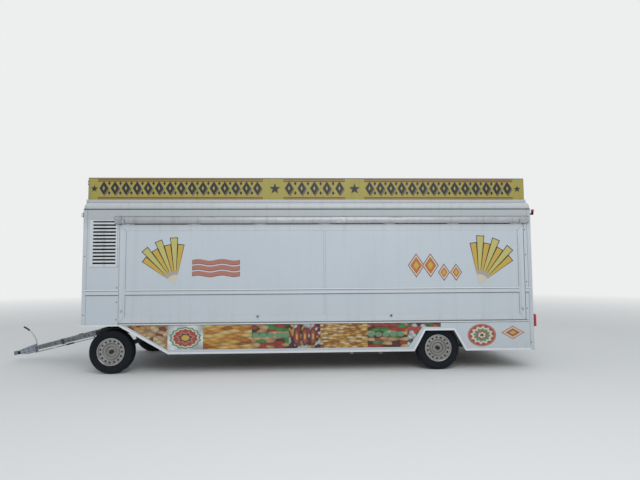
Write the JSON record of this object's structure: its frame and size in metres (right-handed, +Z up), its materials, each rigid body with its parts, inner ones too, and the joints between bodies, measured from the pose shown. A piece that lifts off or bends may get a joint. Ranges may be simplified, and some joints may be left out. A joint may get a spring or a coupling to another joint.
{
  "type": "two-axle catering trailer with a serving flap",
  "caption": "Low-floor catering trailer with a turntable-steered front axle, hinged drawbar, lift-up serving flap, rear staff door and a blank roof sign.",
  "frame": {"origin": "on the ground under the middle of the whole trailer, drawbar included", "axes": "+X to the rear of the trailer, -Y to the serving side with the flap, +Z up"},
  "size_m": [8.3543, 2.348, 2.893],
  "materials": {
    "panel": "satin",
    "roof": "satin",
    "aluminium": "satin",
    "steel": "satin",
    "galvanised": "matte",
    "wood": "matte",
    "counter": "satin",
    "sign": "satin",
    "lamp_red": "gloss",
    "lamp_white": "gloss",
    "plate": "satin",
    "tyre": "matte",
    "rim": "satin",
    "zinc": "satin",
    "black": "matte"
  },
  "bodies": {
    "root": {"skirt_near": "panel", "skirt_far": "panel", "wall_pier": "panel", "wall_rear_pier": "panel", "wall_header": "panel", "wall_far": "panel", "wall_front": "panel", "wall_rear": "panel", "corner_posts": "aluminium", "roof_rim": "roof", "roof_panel": "roof", "floor_low": "wood", "wheel_boxes": "galvanised", "floor_raised": "wood", "bulkhead": "steel", "chassis_frame": "steel", "nose_frame": "steel", "skirt_trim": "aluminium", "belt_rails": "aluminium", "louvre_vent": "aluminium", "hinge_cover": "aluminium", "hinge_body": "aluminium", "jamb_posts": "aluminium", "door_hinge_wall": "zinc", "sign_board": "sign", "sign_brackets": "galvanised", "tail_lamps": "lamp_red", "marker_lamps": "lamp_white", "plate_holder": "plate", "serving_counter": "counter", "rear_axle": "steel", "turntable_upper": "steel"},
    "bogie": {"turntable_lower": "steel", "bogie_frame": "steel", "front_springs": "steel", "front_axle": "steel"},
    "drawbar": {"drawbar_frame": "galvanised", "coupling_housing": "galvanised", "coupling_head": "zinc", "handbrake_lever": "black"},
    "flap": {"flap_frame": "aluminium", "flap_panel": "panel", "flap_latches": "zinc", "hinge_flap": "aluminium", "flap_brackets": "zinc"},
    "door": {"rear_door": "panel", "door_fittings": "zinc"},
    "strut_front_cylinder": {"strut_tube_front": "black"},
    "strut_rear_cylinder": {"strut_tube_rear": "black"},
    "strut_front_piston": {"strut_rod_front": "zinc"},
    "strut_rear_piston": {"strut_rod_rear": "zinc"},
    "wheel_front_near": {"tyre_front_near": "tyre", "rim_front_near": "rim"},
    "wheel_front_far": {"tyre_front_far": "tyre", "rim_front_far": "rim"},
    "wheel_rear_near": {"tyre_rear_near": "tyre", "rim_rear_near": "rim"},
    "wheel_rear_far": {"tyre_rear_far": "tyre", "rim_rear_far": "rim"}
  },
  "joints": [
    {"name": "steer", "type": "hinge", "parent": "root", "child": "bogie", "pos_m": [-2.17695, 0, 0.66], "axis": [0, 0, 1], "range_deg": [-35, 35]},
    {"name": "drawbar_lift", "type": "hinge", "parent": "bogie", "child": "drawbar", "pos_m": [-2.54295, 0, 0.547], "axis": [0, 1, 0], "range_deg": [0, 22]},
    {"name": "flap_open", "type": "hinge", "parent": "root", "child": "flap", "pos_m": [0.97155, -1.158, 2.194], "axis": [-1, 0, 0], "range_deg": [0, 90]},
    {"name": "door_open", "type": "hinge", "parent": "root", "child": "door", "pos_m": [4.13205, 0.89, 1.352], "axis": [0, 0, 1], "range_deg": [0, 110]},
    {"name": "strut_front_swing", "type": "hinge", "parent": "root", "child": "strut_front_cylinder", "pos_m": [-2.01695, -1.063, 1.194], "axis": [-1, 0, 0], "range_deg": [0, 20.38]},
    {"name": "strut_front_reach", "type": "slide", "parent": "strut_front_cylinder", "child": "strut_front_piston", "axis": [0, -0.0067, 1], "range_m": [0, 0.2232]},
    {"name": "strut_rear_swing", "type": "hinge", "parent": "root", "child": "strut_rear_cylinder", "pos_m": [3.96005, -1.063, 1.194], "axis": [-1, 0, 0], "range_deg": [0, 20.38]},
    {"name": "strut_rear_reach", "type": "slide", "parent": "strut_rear_cylinder", "child": "strut_rear_piston", "axis": [0, -0.0067, 1], "range_m": [0, 0.2232]},
    {"name": "spin_front_near", "type": "hinge", "parent": "bogie", "child": "wheel_front_near", "pos_m": [-2.17695, -1.0055, 0.32], "axis": [0, 1, 0], "continuous": true},
    {"name": "spin_front_far", "type": "hinge", "parent": "bogie", "child": "wheel_front_far", "pos_m": [-2.17695, 1.0055, 0.32], "axis": [0, 1, 0], "continuous": true},
    {"name": "spin_rear_near", "type": "hinge", "parent": "root", "child": "wheel_rear_near", "pos_m": [2.66905, -1.0055, 0.32], "axis": [0, 1, 0], "continuous": true},
    {"name": "spin_rear_far", "type": "hinge", "parent": "root", "child": "wheel_rear_far", "pos_m": [2.66905, 1.0055, 0.32], "axis": [0, 1, 0], "continuous": true}
  ],
  "couplings": [
    {"joint": "strut_front_swing", "follows": "flap_open", "ratio": 0.22645},
    {"joint": "strut_front_reach", "follows": "flap_open", "m_per_rad": 0.14208},
    {"joint": "strut_rear_swing", "follows": "flap_open", "ratio": 0.22645},
    {"joint": "strut_rear_reach", "follows": "flap_open", "m_per_rad": 0.14208}
  ]
}
